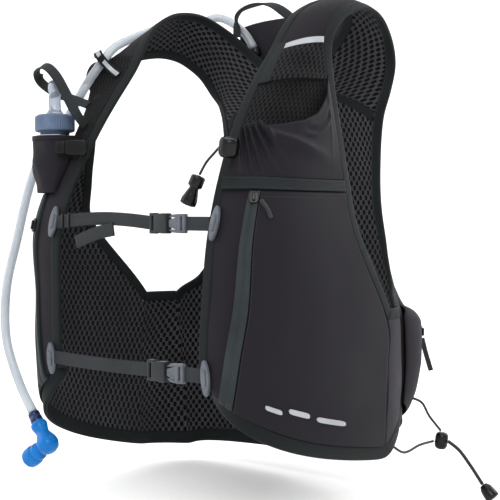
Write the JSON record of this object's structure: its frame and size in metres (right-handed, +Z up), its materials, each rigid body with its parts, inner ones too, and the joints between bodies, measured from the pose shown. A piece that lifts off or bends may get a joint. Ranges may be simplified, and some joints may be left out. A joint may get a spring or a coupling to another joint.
{
  "type": "running hydration vest",
  "caption": "Close-fitting sleeveless running vest with open mesh back, chest straps, front pockets, a soft flask, a back pack and a drinking tube with bite valve, kept in its worn shape.",
  "frame": {"origin": "shoulder seat: the middle of the wearer's shoulders, on the mid plane, level with the top of the shoulder panels and between the front and the back", "axes": "+Z up, -Y to the wearer's front, +X to the wearer's left"},
  "size_m": [0.4551, 0.3076, 0.5115],
  "materials": {
    "body_cloth": "smooth woven stretch cloth",
    "side_cloth": "stretch cloth",
    "spacer_mesh": "open spacer mesh",
    "binding": "ribbed binding and ribbon",
    "strap": "woven webbing",
    "zip": "coated zip tape",
    "pack_cloth": "smooth woven cloth",
    "reflective": "reflective tape",
    "buckle": "satin moulded plastic",
    "toggle": "moulded plastic",
    "cord": "braided cord",
    "soft_clear": "soft clear polymer",
    "cap": "ribbed plastic",
    "valve": "soft silicone",
    "valve_sleeve": "moulded plastic"
  },
  "bodies": {
    "root": {"left_front_panel": "body_cloth", "right_front_panel": "body_cloth", "left_lower_pocket": "body_cloth", "right_lower_pocket": "body_cloth", "stretch_pocket": "body_cloth", "flask_pocket": "body_cloth", "left_side_panel": "side_cloth", "right_side_panel": "side_cloth", "back_panel": "spacer_mesh", "mesh_sleeve": "spacer_mesh", "neck_binding": "binding", "left_armhole_binding": "binding", "right_armhole_binding": "binding", "hem_binding": "binding", "pocket_band": "binding", "shoulder_webbing": "binding", "pull_tab": "binding", "hang_loop": "binding", "upper_strap_right": "strap", "upper_strap_left": "strap", "upper_strap_tail": "strap", "lower_strap_right": "strap", "lower_strap_left": "strap", "left_zip_tape": "zip", "right_zip_tape": "zip", "back_pack": "pack_cloth", "reflective_strip": "reflective", "tube_keeper": "reflective", "pocket_buckle": "buckle", "upper_buckle_socket": "buckle", "upper_buckle_plug": "buckle", "lower_buckle_socket": "buckle", "lower_buckle_plug": "buckle", "upper_rail_clip_left": "buckle", "upper_rail_clip_right": "buckle", "lower_rail_clip_left": "buckle", "lower_rail_clip_right": "buckle", "tube_port": "buckle", "left_zip_slider": "buckle", "right_zip_slider": "buckle", "side_zip_slider": "buckle", "cord_lock": "toggle", "cord_end": "toggle", "bungee_lock": "toggle", "bungee_end": "toggle", "drawcord": "cord", "left_zip_pull": "cord", "side_zip_pull": "cord", "bungee_upper": "cord", "bungee_lower": "cord", "bungee_tail": "cord", "drinking_tube": "soft_clear", "flask_body": "soft_clear", "flask_spout": "soft_clear", "flask_cap": "cap", "valve_body": "valve", "mouthpiece": "valve", "valve_sleeve": "valve_sleeve"}
  },
  "joints": []
}
